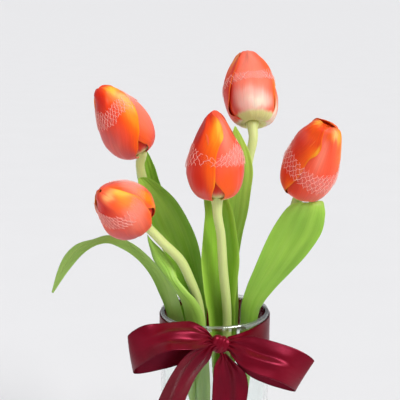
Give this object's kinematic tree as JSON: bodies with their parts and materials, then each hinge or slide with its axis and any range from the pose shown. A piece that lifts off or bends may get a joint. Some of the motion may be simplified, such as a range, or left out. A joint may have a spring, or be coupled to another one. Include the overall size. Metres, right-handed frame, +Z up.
{
  "type": "tulips in a vase",
  "caption": "Cut tulips with pointed closed blooms and long leaves standing in a clear glass cylinder vase tied with a satin ribbon bow.",
  "frame": {"origin": "centre of the vase's flat bottom", "axes": "+Z up along the vase's axis, -Y towards the side with the bow, +X to the right of it"},
  "size_m": [0.2029, 0.1294, 0.3876],
  "materials": {
    "petal_outer": "satin waxy petal, coral pink with orange margins",
    "petal_inner": "satin waxy petal, orange red",
    "stem": "smooth waxy stem, pale yellow green",
    "leaf": "smooth waxy leaf with fine lengthwise veins",
    "pistil": "matte plant tissue",
    "glass": "clear polished glass",
    "ribbon": "burgundy satin ribbon",
    "net": "fine white thread net"
  },
  "bodies": {
    "root": {"glass_vase": "glass", "tulip_left_upper_stem": "stem", "tulip_left_upper_outer_petal_1": "petal_outer", "tulip_left_upper_outer_petal_2": "petal_outer", "tulip_left_upper_outer_petal_3": "petal_outer", "tulip_left_upper_inner_petal_1": "petal_inner", "tulip_left_upper_inner_petal_2": "petal_inner", "tulip_left_upper_inner_petal_3": "petal_inner", "tulip_left_upper_pistil_and_stamens": "pistil", "tulip_left_upper_bud_net": "net", "tulip_left_lower_stem": "stem", "tulip_left_lower_outer_petal_1": "petal_outer", "tulip_left_lower_outer_petal_2": "petal_outer", "tulip_left_lower_outer_petal_3": "petal_outer", "tulip_left_lower_inner_petal_1": "petal_inner", "tulip_left_lower_inner_petal_2": "petal_inner", "tulip_left_lower_inner_petal_3": "petal_inner", "tulip_left_lower_pistil_and_stamens": "pistil", "tulip_left_lower_bud_net": "net", "tulip_center_stem": "stem", "tulip_center_outer_petal_1": "petal_outer", "tulip_center_outer_petal_2": "petal_outer", "tulip_center_outer_petal_3": "petal_outer", "tulip_center_inner_petal_1": "petal_inner", "tulip_center_inner_petal_2": "petal_inner", "tulip_center_inner_petal_3": "petal_inner", "tulip_center_pistil_and_stamens": "pistil", "tulip_center_bud_net": "net", "tulip_top_stem": "stem", "tulip_top_outer_petal_1": "petal_outer", "tulip_top_outer_petal_2": "petal_outer", "tulip_top_outer_petal_3": "petal_outer", "tulip_top_inner_petal_1": "petal_inner", "tulip_top_inner_petal_2": "petal_inner", "tulip_top_inner_petal_3": "petal_inner", "tulip_top_pistil_and_stamens": "pistil", "tulip_top_bud_net": "net", "tulip_right_stem": "stem", "tulip_right_outer_petal_1": "petal_outer", "tulip_right_outer_petal_2": "petal_outer", "tulip_right_outer_petal_3": "petal_outer", "tulip_right_inner_petal_1": "petal_inner", "tulip_right_inner_petal_2": "petal_inner", "tulip_right_inner_petal_3": "petal_inner", "tulip_right_pistil_and_stamens": "pistil", "tulip_right_bud_net": "net", "leaf_far_left_arching": "leaf", "leaf_left_clasping": "leaf", "leaf_left_broad": "leaf", "leaf_upper_left": "leaf", "leaf_center_cupped": "leaf", "leaf_top": "leaf", "leaf_right_broad": "leaf", "ribbon_wrap": "ribbon", "bow_knot": "ribbon", "bow_loop_left": "ribbon", "bow_loop_right": "ribbon", "ribbon_tail_left": "ribbon", "ribbon_tail_right": "ribbon"}
  },
  "joints": []
}
